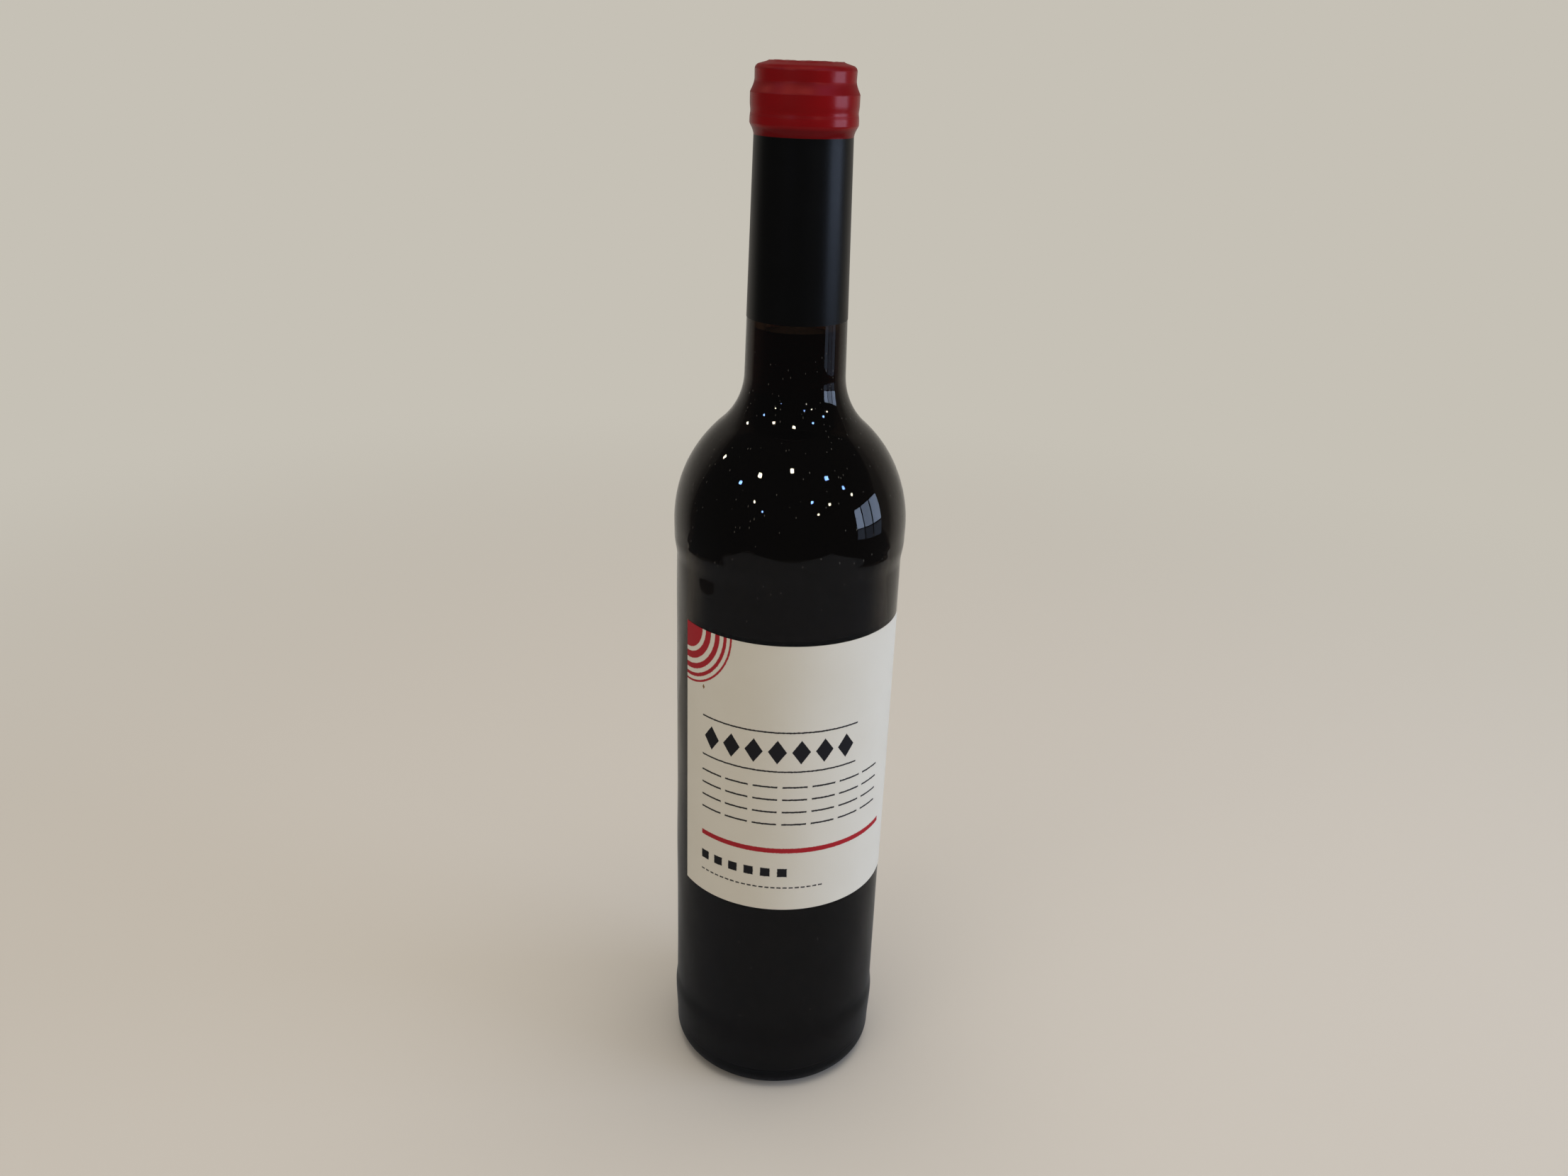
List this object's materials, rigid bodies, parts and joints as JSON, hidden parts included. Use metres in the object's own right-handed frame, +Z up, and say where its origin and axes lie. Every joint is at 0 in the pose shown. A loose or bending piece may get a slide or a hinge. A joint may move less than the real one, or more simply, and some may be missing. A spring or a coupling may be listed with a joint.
{
  "type": "wine bottle",
  "caption": "Tall dark glass bottle of red wine with square shoulders, shut by a red and black shrink capsule over the ring, with a near-square paper label round the body.",
  "frame": {"origin": "middle of the foot, on the table", "axes": "+Z up along the bottle's axis; the middle of the label faces -Y"},
  "size_m": [0.0738, 0.0738, 0.337],
  "materials": {
    "bottle_glass": "very dark green-brown moulded glass, glossy",
    "wine": "clear dark red wine",
    "capsule_film": "satin shrink film, deep red over the ring and lip, black on the skirt",
    "label_paper": null
  },
  "bodies": {
    "root": {"bottle": "bottle_glass", "wine": "wine", "capsule": "capsule_film", "label": "label_paper"}
  },
  "joints": []
}
